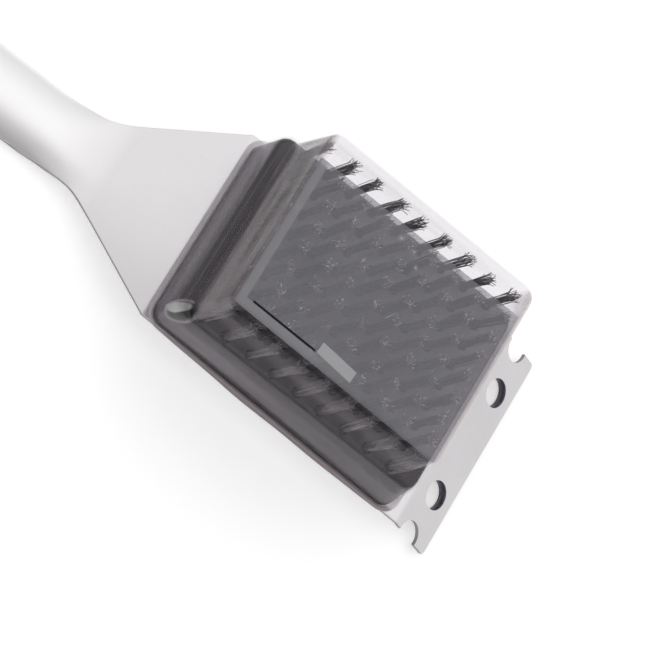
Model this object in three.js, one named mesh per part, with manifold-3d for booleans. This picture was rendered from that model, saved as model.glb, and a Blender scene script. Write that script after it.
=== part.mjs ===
// Grill cleaning brush: a stamped steel frame (handle, neck, head plate and scraper in one sheet),
// a plastic block screwed to its head, nine rows of wire tufts, and a clear guard that lifts off.
//
// Millimetres. The origin is the middle of the head plate's back. +X runs from the handle to the
// scraper, +Z is the way the bristles point, and the brush is symmetric about Y = 0.

import * as THREE from 'three';
import { mergeVertices } from 'three/addons/utils/BufferGeometryUtils.js';
import Module from 'manifold-3d';

const wasm = await Module();
wasm.setup();

// ---------------------------------------------------------------- driving dimensions

const GAP = 0.3;                 // clearance between pieces that touch

const SHEET = 1.5;               // steel sheet thickness
const PLATE_REAR = -55;          // where the neck bends away from the head plate
const PLATE_FRONT = 63.7;        // where the scraper bends away
const PLATE_HALF = 39;           // half the head's width at the neck
const PLATE_SPREAD = 2.6;        // extra half-width where the scraper bends away

const NECK_END = -91.5;          // where the flat neck turns into the handle
const NECK_DROP = 10.6;          // fall of the neck away from the bristles
const NECK_TAPER = 0.61;         // half-width lost per millimetre of neck
const NECK_BLEND = 1.6;          // softness of the corner between neck and handle outline
const NECK_BEND_R = 30;          // inner bend radii of the sheet, seen from the side
const PLATE_BEND_R = 6;
const BLADE_BEND_R = 4;
const BEND_STEPS = 4;            // facets in each bend

const HANDLE_END = -370;
const HANDLE_FALL = THREE.MathUtils.degToRad(2.5);
const HANDLE_HALF = 13.8;        // half-width behind the neck
const HANDLE_SWELL = 2.4;        // extra half-width at the middle of the grip
const SWELL_SKEW = 1.4;          // above 1 moves the swell towards the handle's end
const HANDLE_CROWN = 4.4;        // height of the arched section
const CROWN_STEEPNESS = 0.9;     // 0 is a shallow parabola, 1 a half circle
const CROWN_RUN = 26;            // length over which the arch rises from the flat neck
const HANG_HOLE_INSET = 15;
const HANG_HOLE_R = 4.5;
const HANDLE_END_R = 14.1;       // round outline of the handle's end

const BLADE_LENGTH = 20;
const BLADE_ANGLE = THREE.MathUtils.degToRad(25.8);
const BLADE_HALF = 41.8;
const BLADE_FLARE = 8;           // length over which the blade widens from the plate
const BLADE_CORNER = 1.2;        // cut across each outer corner
const BLADE_HOLE_R = 5.4;
const BLADE_HOLE_ALONG = 10.6;   // along the blade, from its bend
const BLADE_HOLE_Y = 22.4;
const NOTCH_R = 5.2;
const NOTCH_ALONG = 8.6;
const NOTCH_Y = 40.8;

const BLOCK_FOOT = { rear: -52.6, front: 58, half: 38.6, spread: 2.2 };
const BLOCK_CROWN = { rear: -52.6, front: 55.2, half: 38 };   // top of the sides, below the rounding
const BLOCK_HEIGHT = 20.8;
const BLOCK_CORNER = 5;
const BLOCK_CHAMFER = 0.8;
const BLOCK_ROUND = 2.2;         // rounding of the top edge

const COLUMNS = 9;
const ROWS = 9;
const COLUMN_PITCH = 10.7;       // along X
const ROW_PITCH = 8.7;           // along Y
const TUFT_FREE = 21.7;          // length above the block
const TUFT_SUNK = 6;             // length inside its hole
const TUFT_ROOT_R = 1.45;
const TUFT_TIP_R = 1.8;
const TUFT_SIDES = 6;
const TUFT_HOLE_R = 2.15;
const TUFT_HOLE_DEPTH = 7.5;
const STRIP_WIDTH = 1.2;         // strip that joins the feet of a row
const STRIP_HEIGHT = 0.8;

const SCREW_X = 32;
const SCREW_Y = 21.8;
const SCREW_SHANK_R = 1.5;
const SCREW_HEAD_R = 3.6;
const SCREW_HEAD_HEIGHT = 2.2;
const SCREW_HEAD_CHAMFER = 0.9;
const SCREW_POINT = 2;           // length of the tapered tip
const SCREW_REACH = 11;          // shank length above the plate's back
const SCREW_SIDES = 16;

const WALL = 0.5;                // guard sheet thickness
const GUARD_TOP = 52;
const GUARD_SHOULDER = 1.2;
const GUARD_CORNER = 5;
const FLANGE = { rear: -55.2, front: 61, half: 40.3, spread: 2.9 };
const FLANGE_CORNER = 7;
const WAIST = { rear: -48.6, front: 47.4, half: 37.9 };   // foot of the upper walls, on the shelf
const WAIST_FILLET = 1.5;
const RIM = { rear: -47.5, front: 46, half: 37.4 };   // top of the upper walls, below the shoulder

const FILM = { rear: -46, front: 44.2, near: -36, far: 27.2, thick: 0.25 };

const PLATE_TOP = SHEET;
const BLOCK_BOTTOM = PLATE_TOP + GAP;
const BLOCK_TOP = BLOCK_BOTTOM + BLOCK_HEIGHT;

// ---------------------------------------------------------------- materials

const finish = (color, roughness, metalness, extra = {}) =>
  new THREE.MeshStandardMaterial({ color, roughness, metalness, ...extra });

const steel = () => finish(0xd9d6d8, 0.38, 1.0);
const wire = () => finish(0x8d8b90, 0.45, 1.0);
const screwSteel = () => finish(0xc4c4c8, 0.3, 1.0);
const blackPlastic = () => finish(0x1b1a1d, 0.3, 0.0);
const clearPlastic = () => finish(0xf2eff4, 0.08, 0.0, { transparent: true, opacity: 0.25 });
const greyFilm = () => finish(0x6f7074, 0.4, 0.0, { transparent: true, opacity: 0.6 });

// ---------------------------------------------------------------- solids and booleans

/** A manifold solid made from a closed three.js geometry. */
function solid(geometry) {
  const bare = geometry.index ? geometry.toNonIndexed() : geometry.clone();
  bare.deleteAttribute('normal');
  bare.deleteAttribute('uv');
  const merged = mergeVertices(bare, 1e-4);
  return new wasm.Manifold(new wasm.Mesh({
    numProp: 3,
    vertProperties: new Float32Array(merged.attributes.position.array),
    triVerts: new Uint32Array(merged.index.array),
  }));
}

/** A three.js geometry made from a manifold solid. */
function geometryOf(body) {
  const mesh = body.getMesh();
  const geometry = new THREE.BufferGeometry();
  geometry.setAttribute('position', new THREE.BufferAttribute(mesh.vertProperties, 3));
  geometry.setIndex(new THREE.BufferAttribute(mesh.triVerts, 1));
  geometry.computeVertexNormals();
  return geometry;
}

/** A closed surface through rings of equal length, listed so that the faces point outwards. */
function loft(rings) {
  const count = rings[0].length;
  const positions = rings.flat().flatMap((p) => [p.x, p.y, p.z]);
  const index = [];
  for (let ring = 0; ring < rings.length - 1; ring += 1) {
    for (let i = 0; i < count; i += 1) {
      const a = ring * count + i;
      const b = ring * count + (i + 1) % count;
      index.push(a, b, a + count, b, b + count, a + count);
    }
  }
  const last = (rings.length - 1) * count;
  for (let i = 1; i < count - 1; i += 1) {
    index.push(0, i + 1, i);
    index.push(last, last + i, last + i + 1);
  }
  const geometry = new THREE.BufferGeometry();
  geometry.setAttribute('position', new THREE.Float32BufferAttribute(positions, 3));
  geometry.setIndex(index);
  return geometry;
}

/** A prism along Z between two heights, its radius changing evenly. */
function prism(x, y, bottom, top, bottomRadius, topRadius, sides) {
  const geometry = new THREE.CylinderGeometry(topRadius, bottomRadius, top - bottom, sides);
  geometry.rotateX(Math.PI / 2);
  geometry.translate(x, y, (top + bottom) / 2);
  return geometry;
}

/** An axis-aligned box between two corners. */
function box(low, high) {
  const size = high.clone().sub(low);
  const geometry = new THREE.BoxGeometry(size.x, size.y, size.z);
  const middle = low.clone().add(high).multiplyScalar(0.5);
  geometry.translate(middle.x, middle.y, middle.z);
  return geometry;
}

// ---------------------------------------------------------------- frame sheet

const BLADE_TIP = new THREE.Vector2(
  PLATE_FRONT + BLADE_LENGTH * Math.cos(BLADE_ANGLE),
  PLATE_TOP - BLADE_LENGTH * Math.sin(BLADE_ANGLE),
);
const NECK_LOW = PLATE_TOP - NECK_DROP;
const HANDLE_LOW = NECK_LOW - (NECK_END - HANDLE_END) * Math.tan(HANDLE_FALL);

/** The sheet's upper line, seen from the side: points with upward normals, bends as arcs. */
function spine() {
  const corners = [
    { at: new THREE.Vector2(HANDLE_END, HANDLE_LOW) },
    { at: new THREE.Vector2(NECK_END, NECK_LOW), radius: NECK_BEND_R },
    { at: new THREE.Vector2(PLATE_REAR, PLATE_TOP), radius: PLATE_BEND_R },
    { at: new THREE.Vector2(PLATE_FRONT, PLATE_TOP), radius: BLADE_BEND_R },
    { at: BLADE_TIP },
  ];
  const upward = (along) => new THREE.Vector2(-along.y, along.x);
  const direction = (from, to) => to.clone().sub(from).normalize();
  const stations = [];
  const first = direction(corners[0].at, corners[1].at);
  stations.push({ at: corners[0].at, up: upward(first) });
  for (let i = 1; i < corners.length - 1; i += 1) {
    const { at, radius } = corners[i];
    const before = direction(corners[i - 1].at, at);
    const after = direction(at, corners[i + 1].at);
    const turn = before.angle() - after.angle();
    const bend = Math.atan2(Math.sin(turn), Math.cos(turn));
    const reach = radius * Math.tan(Math.abs(bend) / 2);
    const start = at.clone().addScaledVector(before, -reach);
    const side = Math.sign(bend);
    const centre = start.clone().addScaledVector(upward(before), -side * radius);
    for (let step = 0; step <= BEND_STEPS; step += 1) {
      const up = upward(before).rotateAround(new THREE.Vector2(), -bend * step / BEND_STEPS);
      stations.push({ at: centre.clone().addScaledVector(up, side * radius), up });
    }
  }
  const last = direction(corners.at(-2).at, corners.at(-1).at);
  stations.push({ at: corners.at(-1).at, up: upward(last) });
  return stations;
}

/** The spine's point and normal at a given X. */
function spineAt(stations, x) {
  const next = Math.max(1, stations.findIndex((station) => station.at.x >= x - 1e-9));
  const a = stations[next - 1];
  const b = stations[next];
  const share = (x - a.at.x) / (b.at.x - a.at.x);
  return {
    at: a.at.clone().lerp(b.at, share),
    up: a.up.clone().lerp(b.up, share).normalize(),
  };
}

/** Half the sheet's width at a given X. */
function halfWidth(x) {
  if (x > PLATE_FRONT) {
    const along = (x - PLATE_FRONT) / Math.cos(BLADE_ANGLE);
    const flare = Math.min(1, along / BLADE_FLARE);
    const corner = Math.max(0, along - BLADE_LENGTH + BLADE_CORNER);
    return THREE.MathUtils.lerp(PLATE_HALF + PLATE_SPREAD, BLADE_HALF, flare) - corner;
  }
  if (x > PLATE_REAR) {
    return PLATE_HALF + PLATE_SPREAD * (x - PLATE_REAR) / (PLATE_FRONT - PLATE_REAR);
  }
  const neck = PLATE_HALF - (PLATE_REAR - x) * NECK_TAPER;
  const along = THREE.MathUtils.clamp((NECK_END - x) / (NECK_END - HANDLE_END), 0, 1);
  const handle = HANDLE_HALF + HANDLE_SWELL * Math.sin(Math.PI * along ** SWELL_SKEW) ** 2;
  return handle + NECK_BLEND * Math.log1p(Math.exp((neck - handle) / NECK_BLEND));
}

/** How far the sheet has dropped from its crest, at a distance from the middle. */
function archDrop(x, y) {
  const rise = HANDLE_CROWN * THREE.MathUtils.smoothstep(NECK_END - x, 0, CROWN_RUN);
  const share = Math.min(1, Math.abs(y) / HANDLE_HALF);
  const round = 1 - Math.sqrt(1 - CROWN_STEEPNESS * share * share);
  return rise * round / (1 - Math.sqrt(1 - CROWN_STEEPNESS));
}

/** Where the sheet is cut into strips along X: each bend, and the curves of the outline. */
function stationPlaces(stations) {
  const places = stations.map((station) => station.at.x);
  const spread = (from, to, count) => {
    for (let i = 1; i < count; i += 1) {
      places.push(from + (to - from) * i / count);
    }
  };
  spread(HANDLE_END, NECK_END - CROWN_RUN, 12);
  spread(NECK_END - CROWN_RUN, NECK_END - 2, 7);
  spread(NECK_END, NECK_END + 12, 4);
  places.push(PLATE_FRONT + BLADE_FLARE * Math.cos(BLADE_ANGLE));
  places.push(PLATE_FRONT + (BLADE_LENGTH - BLADE_CORNER) * Math.cos(BLADE_ANGLE));
  places.sort((a, b) => a - b);
  return places.filter((x, i) => i === 0 || x - places[i - 1] > 0.05);
}

/** The bent sheet before any hole is cut: rings across the sheet, from the handle to the blade. */
function sheet() {
  const stations = spine();
  const across = 7;
  const rings = stationPlaces(stations).map((x) => {
    const { at, up } = spineAt(stations, x);
    const half = halfWidth(x);
    const top = [];
    const bottom = [];
    for (let i = -across; i <= across; i += 1) {
      const y = half * Math.sin(Math.PI / 2 * i / across);
      const drop = archDrop(x, y);
      const step = 0.05;
      const slope = (archDrop(x, Math.min(half, y + step)) - archDrop(x, y - step)) / (2 * step);
      const lean = Math.hypot(1, slope);
      const place = (below, shift) => new THREE.Vector3(
        at.x - up.x * below,
        y - shift,
        at.y - up.y * below,
      );
      top.push(new THREE.Vector3(at.x - up.x * drop, y, at.y - up.y * drop));
      bottom.push(place(drop + SHEET / lean, SHEET * slope / lean));
    }
    return [...top.reverse(), ...bottom];
  });
  return solid(loft(rings));
}

/** A cutter across the blade: a cylinder square to it. */
function bladeCutter(along, y, radius, sides) {
  const length = 8 * SHEET;
  const geometry = new THREE.CylinderGeometry(radius, radius, length, sides);
  geometry.rotateX(Math.PI / 2);
  geometry.rotateY(BLADE_ANGLE);
  const x = PLATE_FRONT + along * Math.cos(BLADE_ANGLE);
  const z = PLATE_TOP - along * Math.sin(BLADE_ANGLE);
  geometry.translate(x, y, z);
  return solid(geometry);
}

/** What is cut off the handle's end to round it. */
function handleEndCutter() {
  const half = HANDLE_HALF + HANDLE_SWELL;
  const past = 5;
  const overlap = 0.01;
  const depth = 60;
  const below = 40;
  const trim = 0.2;
  const outline = new THREE.Shape();
  outline.moveTo(-half, -half - past);
  outline.lineTo(half, -half - past);
  outline.lineTo(half, overlap);
  outline.absarc(0, 0, HANDLE_END_R, 0, -Math.PI, true);
  outline.lineTo(-half, overlap);
  outline.closePath();
  const geometry = new THREE.ExtrudeGeometry(outline, {
    depth,
    bevelEnabled: false,
    curveSegments: 12,
  });
  geometry.rotateZ(-Math.PI / 2);
  geometry.translate(HANDLE_END + HANDLE_END_R + trim, 0, HANDLE_LOW - below);
  return solid(geometry);
}

function frameSheet() {
  let body = sheet().subtract(handleEndCutter());
  const hangHole = HANDLE_END + HANG_HOLE_INSET;
  body = body.subtract(solid(prism(
    hangHole, 0, HANDLE_LOW - 20, HANDLE_LOW + 20, HANG_HOLE_R, HANG_HOLE_R, 16,
  )));
  for (const side of [-1, 1]) {
    body = body.subtract(bladeCutter(BLADE_HOLE_ALONG, side * BLADE_HOLE_Y, BLADE_HOLE_R, 20));
    body = body.subtract(bladeCutter(NOTCH_ALONG, side * NOTCH_Y, NOTCH_R, 20));
  }
  for (const [x, y] of screwPlaces()) {
    body = body.subtract(solid(prism(
      x, y, -2, PLATE_TOP + 2, SCREW_SHANK_R + GAP, SCREW_SHANK_R + GAP, SCREW_SIDES,
    )));
  }
  return geometryOf(body);
}

// ---------------------------------------------------------------- block, tufts and screws

function screwPlaces() {
  return [
    [-SCREW_X, -SCREW_Y],
    [-SCREW_X, SCREW_Y],
    [SCREW_X, -SCREW_Y],
    [SCREW_X, SCREW_Y],
  ];
}

const columnPlace = (column) => (column - (COLUMNS - 1) / 2) * COLUMN_PITCH;
const rowPlace = (row) => (row - (ROWS - 1) / 2) * ROW_PITCH;

const SIDE_PARTS = 6;            // facets along each straight side of a ring

/** A rectangle with round corners that may widen towards the front, as a ring at one height. */
function roundedRing({ rear, front, half, spread = 0 }, corner, z, steps = 4) {
  const ring = [];
  const centres = [
    [front - corner, half - corner, 0],
    [rear + corner, half - corner, 1],
    [rear + corner, corner - half, 2],
    [front - corner, corner - half, 3],
  ];
  for (const [x, y, quarter] of centres) {
    for (let i = 0; i <= steps; i += 1) {
      const angle = (quarter + i / steps) * Math.PI / 2;
      ring.push(new THREE.Vector3(x + corner * Math.cos(angle), y + corner * Math.sin(angle), z));
    }
  }
  const cut = ring.flatMap((point, i) => {
    const next = ring[(i + 1) % ring.length];
    const parts = i % (steps + 1) === steps ? SIDE_PARTS : 1;
    return Array.from({ length: parts }, (_, part) => point.clone().lerp(next, part / parts));
  });
  for (const point of cut) {
    point.y *= 1 + spread / half * (point.x - rear) / (front - rear);
  }
  return cut;
}

/** The angles at which a rounded edge is cut into facets. */
const ROUNDING = [0, 30, 60, 90].map(THREE.MathUtils.degToRad);

const grown = ({ rear, front, half, spread }, by) => ({
  rear: rear - by,
  front: front + by,
  half: half + by,
  spread,
});

function brushBlock() {
  const rings = [
    roundedRing(grown(BLOCK_FOOT, -BLOCK_CHAMFER), BLOCK_CORNER - BLOCK_CHAMFER, BLOCK_BOTTOM),
    roundedRing(BLOCK_FOOT, BLOCK_CORNER, BLOCK_BOTTOM + BLOCK_CHAMFER),
  ];
  for (const angle of ROUNDING) {
    const inset = BLOCK_ROUND * (1 - Math.cos(angle));
    const z = BLOCK_TOP - BLOCK_ROUND * (1 - Math.sin(angle));
    rings.push(roundedRing(grown(BLOCK_CROWN, -inset), BLOCK_CORNER - inset, z));
  }
  let body = solid(loft(rings));
  for (let row = 0; row < ROWS; row += 1) {
    for (let column = 0; column < COLUMNS; column += 1) {
      body = body.subtract(solid(prism(
        columnPlace(column), rowPlace(row),
        BLOCK_TOP - TUFT_HOLE_DEPTH, BLOCK_TOP + 1,
        TUFT_HOLE_R, TUFT_HOLE_R, TUFT_SIDES,
      )));
    }
  }
  for (const [x, y] of screwPlaces()) {
    body = body.subtract(solid(prism(
      x, y, BLOCK_BOTTOM - 1, SCREW_REACH + 1,
      SCREW_SHANK_R + GAP, SCREW_SHANK_R + GAP, SCREW_SIDES,
    )));
  }
  return geometryOf(body);
}

/** One row of tufts, joined at the feet by a thin strip that lies on the block. */
function tuftRow(row) {
  const y = rowPlace(row);
  const reach = columnPlace(COLUMNS - 1);
  let body = solid(box(
    new THREE.Vector3(-reach, y - STRIP_WIDTH / 2, BLOCK_TOP + GAP),
    new THREE.Vector3(reach, y + STRIP_WIDTH / 2, BLOCK_TOP + GAP + STRIP_HEIGHT),
  ));
  for (let column = 0; column < COLUMNS; column += 1) {
    body = body.add(solid(prism(
      columnPlace(column), y,
      BLOCK_TOP - TUFT_SUNK, BLOCK_TOP + TUFT_FREE,
      TUFT_ROOT_R, TUFT_TIP_R, TUFT_SIDES,
    )));
  }
  return geometryOf(body);
}

/** A pan-head screw driven up from the plate's back. */
function blockScrew() {
  const headBottom = -GAP - SCREW_HEAD_HEIGHT;
  const profile = [
    [0, headBottom],
    [SCREW_HEAD_R - SCREW_HEAD_CHAMFER, headBottom],
    [SCREW_HEAD_R, headBottom + SCREW_HEAD_CHAMFER],
    [SCREW_HEAD_R, -GAP],
    [SCREW_SHANK_R, -GAP],
    [SCREW_SHANK_R, SCREW_REACH - SCREW_POINT],
    [0, SCREW_REACH],
  ].map(([x, y]) => new THREE.Vector2(x, y));
  return new THREE.LatheGeometry(profile, SCREW_SIDES).rotateX(Math.PI / 2);
}

// ---------------------------------------------------------------- guard

/** One face of the guard's shoulder, from the flat top down to the upper walls. */
function shoulderRings(radius) {
  const middle = GUARD_TOP - GUARD_SHOULDER;
  return [...ROUNDING].reverse().map((angle) => {
    const inset = GUARD_SHOULDER - radius * Math.cos(angle);
    const z = middle + radius * Math.sin(angle);
    return roundedRing(grown(RIM, -inset), GUARD_CORNER - inset, z);
  });
}

/** How far each ring of the step has widened from the upper walls (0) to the skirt (1). */
const STEP_WIDENING = [0, 0.04, 0.1, 0.16, 0.2, 0.5, 0.85, 1];

/** One face of the guard's step over the block: the fillet at the waist, then the shelf's edge. */
function stepRings(inwards) {
  const reach = GAP + WALL;
  const skirt = grown(BLOCK_CROWN, reach);
  const round = BLOCK_ROUND + reach;
  const shelf = BLOCK_TOP + reach;
  const rings = [];
  for (const angle of [...ROUNDING].reverse()) {
    const growth = WAIST_FILLET - (WAIST_FILLET + inwards) * Math.sin(angle);
    const z = shelf + WAIST_FILLET - (WAIST_FILLET + inwards) * Math.cos(angle);
    rings.push({ plan: grown(WAIST, growth), corner: GUARD_CORNER + growth, z });
  }
  for (const angle of [...ROUNDING].reverse()) {
    const inset = round - (round - inwards) * Math.cos(angle);
    const z = shelf - round + (round - inwards) * Math.sin(angle);
    rings.push({ plan: grown(skirt, -inset), corner: BLOCK_CORNER + reach - inset, z });
  }
  return rings.map(({ plan, corner, z }, i) => {
    const half = THREE.MathUtils.lerp(WAIST.half, skirt.half, STEP_WIDENING[i]) - inwards;
    return roundedRing({ ...plan, half }, corner, z);
  });
}

/** The clear cover: one sheet with a flat top, a step over the block, a skirt and a flange. */
function bristleGuard() {
  const foot = PLATE_TOP + GAP;
  const reach = GAP + WALL;
  const outer = [...shoulderRings(GUARD_SHOULDER), ...stepRings(0)];
  const flange = [
    roundedRing(grown(BLOCK_FOOT, reach), BLOCK_CORNER + reach, foot + WALL),
    roundedRing(FLANGE, FLANGE_CORNER, foot + WALL),
    roundedRing(FLANGE, FLANGE_CORNER, foot),
    roundedRing(grown(BLOCK_FOOT, GAP), BLOCK_CORNER + GAP, foot),
  ];
  const inner = [...shoulderRings(GUARD_SHOULDER - WALL), ...stepRings(WALL)].reverse();
  return loft([...outer, ...flange, ...inner].reverse());
}

function guardFilm() {
  const bottom = GUARD_TOP + GAP;
  return box(
    new THREE.Vector3(FILM.rear, FILM.near, bottom),
    new THREE.Vector3(FILM.front, FILM.far, bottom + FILM.thick),
  );
}

// ---------------------------------------------------------------- the whole object

const group = new THREE.Group();

function part(name, geometry, material, parent = group) {
  const mesh = new THREE.Mesh(geometry, material);
  mesh.name = name;
  parent.add(mesh);
  return mesh;
}

part('brush_frame', frameSheet(), steel());
part('brush_block', brushBlock(), blackPlastic());

const bristles = new THREE.Group();
group.add(bristles);
for (let row = 0; row < ROWS; row += 1) {
  part(`tuft_row_${row + 1}`, tuftRow(row), wire(), bristles);
}

const screws = new THREE.Group();
group.add(screws);
screwPlaces().forEach(([x, y], i) => {
  part(`block_screw_${i + 1}`, blockScrew(), screwSteel(), screws).position.set(x, y, 0);
});

const guard = new THREE.Group();
group.add(guard);
part('bristle_guard', bristleGuard(), clearPlastic(), guard);
part('guard_film', guardFilm(), greyFilm(), guard);

export default group;
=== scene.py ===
"""A grill cleaning brush: satin steel, black block, wire tufts, and a clear guard with a film."""

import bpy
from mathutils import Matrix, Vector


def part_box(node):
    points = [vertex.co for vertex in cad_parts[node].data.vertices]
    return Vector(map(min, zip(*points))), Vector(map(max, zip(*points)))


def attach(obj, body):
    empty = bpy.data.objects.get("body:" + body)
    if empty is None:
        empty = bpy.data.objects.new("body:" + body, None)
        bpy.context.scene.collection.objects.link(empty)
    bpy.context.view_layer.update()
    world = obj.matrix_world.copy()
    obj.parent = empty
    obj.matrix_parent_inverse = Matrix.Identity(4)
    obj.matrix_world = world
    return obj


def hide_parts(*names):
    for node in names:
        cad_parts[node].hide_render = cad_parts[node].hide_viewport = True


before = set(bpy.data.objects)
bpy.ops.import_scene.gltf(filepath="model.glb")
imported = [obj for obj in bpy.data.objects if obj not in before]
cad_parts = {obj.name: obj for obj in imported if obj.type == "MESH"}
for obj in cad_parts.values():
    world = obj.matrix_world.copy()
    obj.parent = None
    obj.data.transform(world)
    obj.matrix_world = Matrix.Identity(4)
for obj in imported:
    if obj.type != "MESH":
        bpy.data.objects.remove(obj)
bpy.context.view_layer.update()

import math

import bmesh
import bpy
import numpy as np
from mathutils import Matrix, Vector, noise

MM = 0.001

# ------------------------------------------------------------------ sizes

GUARD_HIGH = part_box("bristle_guard")[1]
FILM_LOW, FILM_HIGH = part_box("guard_film")

# Tufts and screws, in metres.
ROWS = 9
COLUMNS = 9
TIP_RADIUS = 1.8 * MM
TIP_SCATTER = 0.16            # as a share of the tuft's radius
ROOT_RADIUS = 1.3 * MM
TUFT_LEAN = 0.35 * MM
LENGTH_SCATTER = 0.45 * MM
WIRE_RADIUS = 0.13 * MM
WIRE_BOW = 0.22 * MM
WIRES_PER_TUFT = 42
WIRE_STEPS = 7
WIRE_SIDES = 4
FRAY_LENGTH = 3.2 * MM
FRAY_SPREAD = 1.5 * MM
OUTER_ROW = 0.03              # rows further out than this lean inwards, clear of the guard
OUTER_PULL = 0.25 * MM
INSIDE_GUARD_LOW = (-0.0462, -0.0367)     # X and Y that the wires keep within
INSIDE_GUARD_HIGH = (0.0456, 0.0367)
SCREWS = 4

# The steel sheet, in mm.
SHEET = 1.5
PLATE_REAR = -55.0
PLATE_FRONT = 63.7
PLATE_HALF = 39.0
PLATE_SPREAD = 2.6
NECK_END = -91.5
NECK_DROP = 10.6
NECK_TAPER = 0.61
NECK_BLEND = 1.6
HANDLE_END = -370.0
HANDLE_FALL = math.radians(2.5)
HANDLE_HALF = 13.8
HANDLE_SWELL = 2.4
SWELL_SKEW = 1.4              # above 1 moves the swell towards the handle's end
HANDLE_CROWN = 4.4
CROWN_STEEPNESS = 0.9         # the arch is a parabola near 0, and half an ellipse at 1
CROWN_RUN = 26.0
HANDLE_TRIM = 0.2             # how far short of HANDLE_END the sheet stops
HANDLE_END_RADIUS = HANDLE_HALF + 0.3
HANG_HOLE_X = -355.0
HANG_HOLE_RADIUS = 4.5
NECK_BEND = 30.0              # bend radii, seen from the side
PLATE_BEND = 6.0
BLADE_BEND = 4.0
BEND_STEPS = 10
BLADE_LENGTH = 20.0
BLADE_ANGLE = math.radians(25.8)
BLADE_HALF = 41.8
BLADE_FLARE = 8.0
BLADE_CORNER = 1.2
BLADE_CUTS = ((10.6, 22.4, 5.4), (8.6, 40.8, 5.2))   # along the blade, to the side, radius
EDGE_ROUND = 0.3
COLLAR = 3.4                  # depth of the lip round each of the blade's holes
HOLE_SIDES = 64
NECK_LOW = SHEET - NECK_DROP
HANDLE_LOW = NECK_LOW - (NECK_END - HANDLE_END) * math.tan(HANDLE_FALL)
BLADE_TIP = (
    PLATE_FRONT + BLADE_LENGTH * math.cos(BLADE_ANGLE),
    SHEET - BLADE_LENGTH * math.sin(BLADE_ANGLE),
)

# The clear guard, in mm. A plan is (rear, front, half-width, extra half-width at the front).
WALL = 0.5
GUARD_FOOT = 1.8
GUARD_TOP = 52.0
GUARD_SHOULDER = 1.2
GUARD_CORNER = 5.0
SHELF = 23.4
STEP_ROUND = 3.0
WAIST_FILLET = 1.5
SKIRT_FOOT = (-53.4, 58.8, 39.4, 2.2)
SKIRT_TOP = (-53.4, 56.0, 38.8, 0.0)
SKIRT_CORNER = 5.8
WAIST = (-48.6, 47.4, 37.9, 0.0)
RIM = (-47.5, 46.0, 37.4, 0.0)
FLANGE = (-54.9, 60.6, 39.9, 2.6)
FLANGE_CORNER = 7.0
FLANGE_LIMIT = 42.9
CORNER_STEPS = 10
SIDE_PARTS = 26
GLARE_PLACE = (-50.0, -35.0, 18.0)

# ------------------------------------------------------------------ camera, floor and light

CAMERA_PLACE = Vector((-0.4533, -0.5482, 1.3125))
CAMERA_AIM = Vector((-0.0115, -0.0180, 0.0443))
CAMERA_UP = Vector((-0.5941, 0.7946, 0.1252))
CAMERA_LENS = 238.3
SENSOR = 36.0
FLOOR_REACH = 3.0
FLOOR_GAP = 0.6 * MM


def link(obj):
    bpy.context.scene.collection.objects.link(obj)
    return obj


def facing(back, up):
    """The rotation that looks against back with up upwards."""
    z = back.normalized()
    x = up.cross(z).normalized()
    y = z.cross(x)
    return Matrix((x, y, z)).transposed().to_4x4()


def make_camera():
    data = bpy.data.cameras.new("camera")
    data.lens = CAMERA_LENS
    data.sensor_width = SENSOR
    camera = link(bpy.data.objects.new("camera", data))
    back = CAMERA_PLACE - CAMERA_AIM
    camera.matrix_world = Matrix.Translation(CAMERA_PLACE) @ facing(back, CAMERA_UP)
    data.clip_start = 0.01
    data.clip_end = 20.0
    bpy.context.scene.camera = camera


def make_floor():
    """A large pale floor that the handle's end and the scraper's tip both rest on."""
    rear = Vector((HANDLE_END, 0, HANDLE_LOW - SHEET - HANDLE_CROWN)) * MM
    blade = Vector((BLADE_TIP[0], 0, BLADE_TIP[1] - SHEET)) * MM
    slope = math.atan2(blade.z - rear.z, blade.x - rear.x)
    reach = FLOOR_REACH
    mesh = bpy.data.meshes.new("floor")
    corners = [(-reach, -reach, 0), (reach, -reach, 0), (reach, reach, 0), (-reach, reach, 0)]
    mesh.from_pydata(corners, [], [(0, 1, 2, 3)])
    floor = link(bpy.data.objects.new("floor", mesh))
    floor.rotation_euler = (0, -slope, 0)
    floor.location = rear - Vector((0, 0, FLOOR_GAP))
    white = Material("floor_white")
    white.output(white.principled(color=(0.96, 0.96, 0.96), roughness=0.9, glow=0.30))
    mesh.materials.append(white.material)


def area_light(name, place, aim, size, power):
    data = bpy.data.lights.new(name, "AREA")
    data.shape = "RECTANGLE"
    data.size, data.size_y = size
    data.energy = power
    lamp = link(bpy.data.objects.new(name, data))
    back = Vector(place) - Vector(aim)
    lamp.matrix_world = Matrix.Translation(place) @ facing(back, Vector((0, 0, 1)))


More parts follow.
